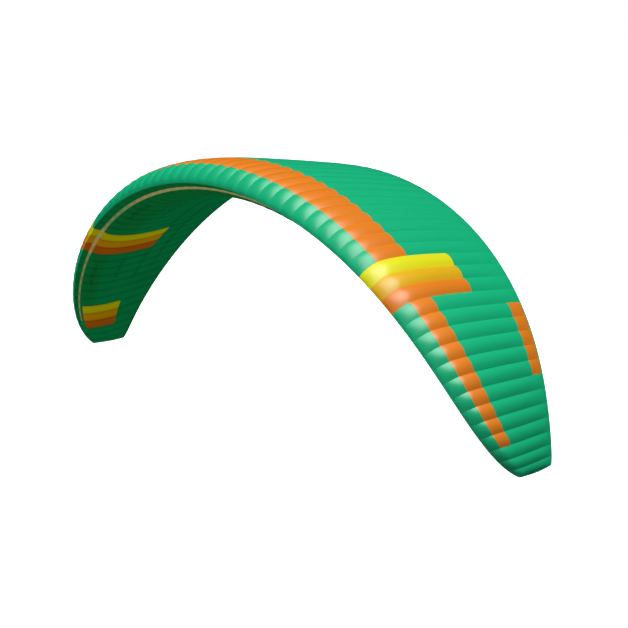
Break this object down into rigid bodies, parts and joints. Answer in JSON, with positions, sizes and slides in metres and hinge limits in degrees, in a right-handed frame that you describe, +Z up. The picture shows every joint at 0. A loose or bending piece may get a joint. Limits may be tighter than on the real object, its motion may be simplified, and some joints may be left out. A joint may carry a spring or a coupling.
{
  "type": "parakite canopy",
  "caption": "Inflated ram-air parakite canopy: an arched double-skin wing of sewn cells with a rounded nose, netted air intakes low at the front, a colour band, stripe cells and closed tips.",
  "frame": {"origin": "middle of the lower skin at a quarter of the chord, where the lines pull", "axes": "+X along the span, +Y from the leading edge to the trailing edge, +Z up"},
  "size_m": [7.5658, 1.708, 2.3624],
  "materials": {
    "green": "coated ripstop cloth, satin",
    "orange": "coated ripstop cloth, satin",
    "gold": "coated ripstop cloth, satin",
    "yellow": "coated ripstop cloth, satin",
    "net": "fine open net"
  },
  "bodies": {
    "root": {"upper_tip_left": "green", "under_tip_left": "green", "rear_outer_left": "green", "band_outer_left": "orange", "nose_outer_left": "green", "lip_outer_left": "green", "net_outer_left": "net", "under_outer_left": "green", "rear_stripes_left": "green", "net_stripes_left": "net", "under_stripes_left": "green", "upper_orange_left": "orange", "lip_orange_left": "orange", "under_orange_left": "orange", "upper_gold_left": "gold", "lip_gold_left": "gold", "under_gold_left": "gold", "upper_yellow_left": "yellow", "lip_yellow_left": "yellow", "under_yellow_left": "yellow", "rear_inner_left": "green", "band_inner_left": "orange", "nose_inner_left": "green", "lip_inner_left": "green", "net_inner_left": "net", "under_inner_left": "green", "rear_centre": "green", "band_centre": "orange", "nose_centre": "green", "lip_centre": "green", "net_centre": "net", "under_centre": "green", "rear_inner_right": "green", "band_inner_right": "orange", "nose_inner_right": "green", "lip_inner_right": "green", "net_inner_right": "net", "under_inner_right": "green", "rear_stripes_right": "green", "net_stripes_right": "net", "under_stripes_right": "green", "upper_orange_right": "orange", "lip_orange_right": "orange", "under_orange_right": "orange", "upper_gold_right": "gold", "lip_gold_right": "gold", "under_gold_right": "gold", "upper_yellow_right": "yellow", "lip_yellow_right": "yellow", "under_yellow_right": "yellow", "rear_outer_right": "green", "band_outer_right": "orange", "nose_outer_right": "green", "lip_outer_right": "green", "net_outer_right": "net", "under_outer_right": "green", "upper_tip_right": "green", "under_tip_right": "green"}
  },
  "joints": []
}
